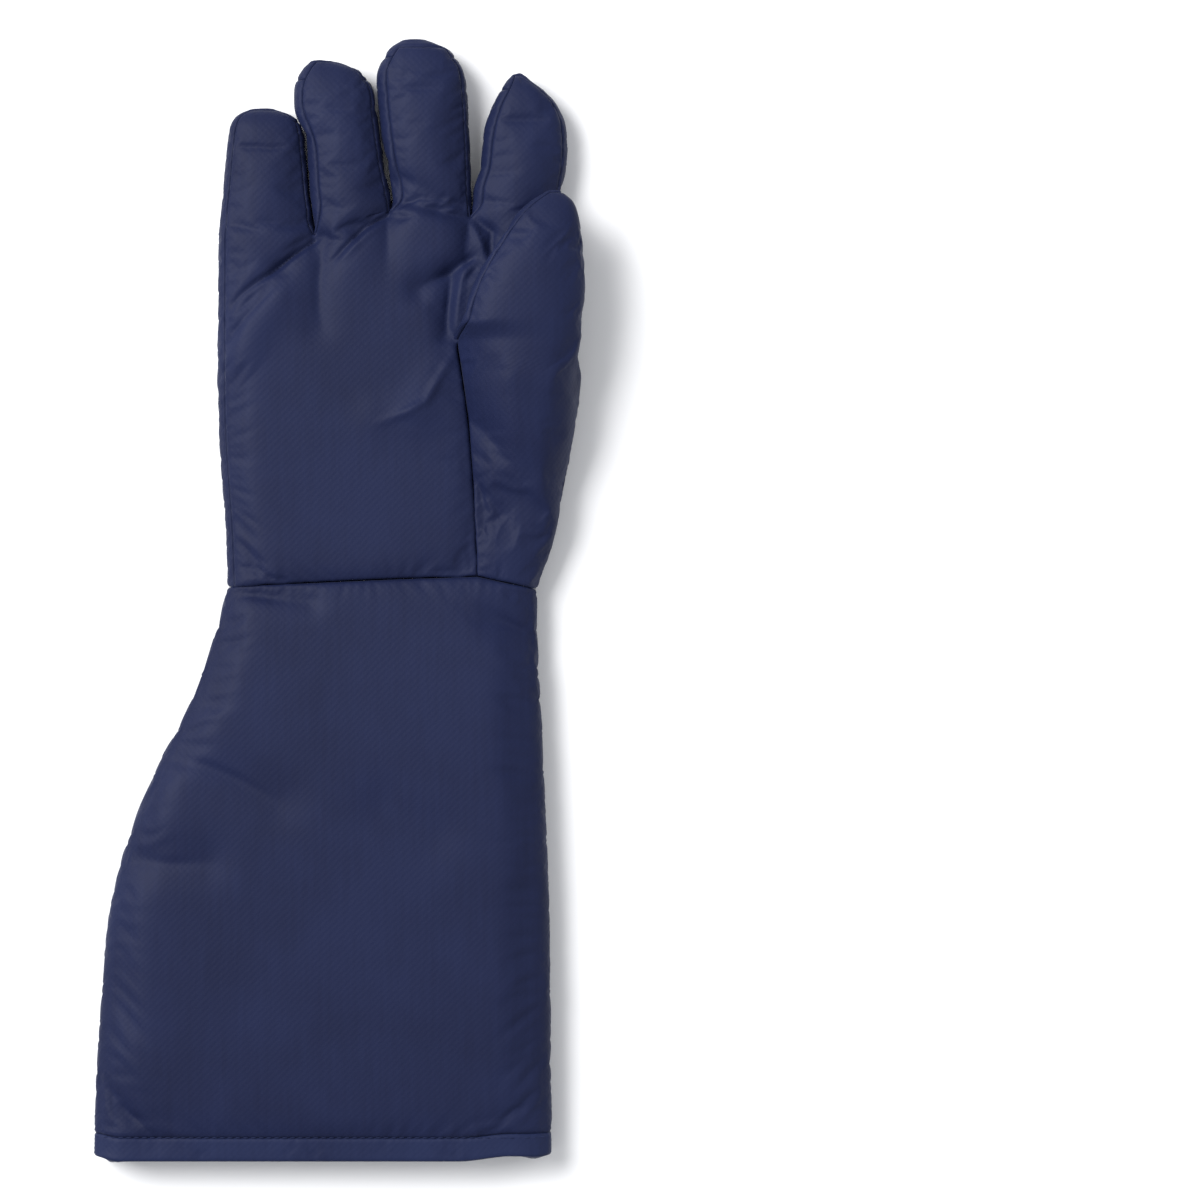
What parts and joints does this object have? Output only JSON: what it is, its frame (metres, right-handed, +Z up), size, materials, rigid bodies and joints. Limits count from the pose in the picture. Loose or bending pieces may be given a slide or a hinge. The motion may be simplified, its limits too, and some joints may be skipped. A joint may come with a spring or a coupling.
{
  "type": "elbow-length cryogenic glove",
  "caption": "Padded elbow-length glove for the right hand, lying palm up with the thumb folded over the palm and a flared, hemmed gauntlet.",
  "frame": {"origin": "middle of the glove's bounding box, on the surface that it lies on", "axes": "+X across the hand toward the thumb, +Y along the glove toward the fingertips, +Z up out of the palm"},
  "size_m": [0.2278, 0.5198, 0.043],
  "materials": {
    "shell_cloth": "satin",
    "hem_cloth": "satin"
  },
  "bodies": {
    "root": {"gauntlet_sleeve": "shell_cloth", "gauntlet_hem": "hem_cloth", "palm_panel": "shell_cloth", "back_panel": "shell_cloth", "fourchette_little_ring": "shell_cloth", "fourchette_ring_middle": "shell_cloth", "fourchette_middle_index": "shell_cloth", "thumb_front": "shell_cloth", "thumb_back": "shell_cloth"}
  },
  "joints": []
}
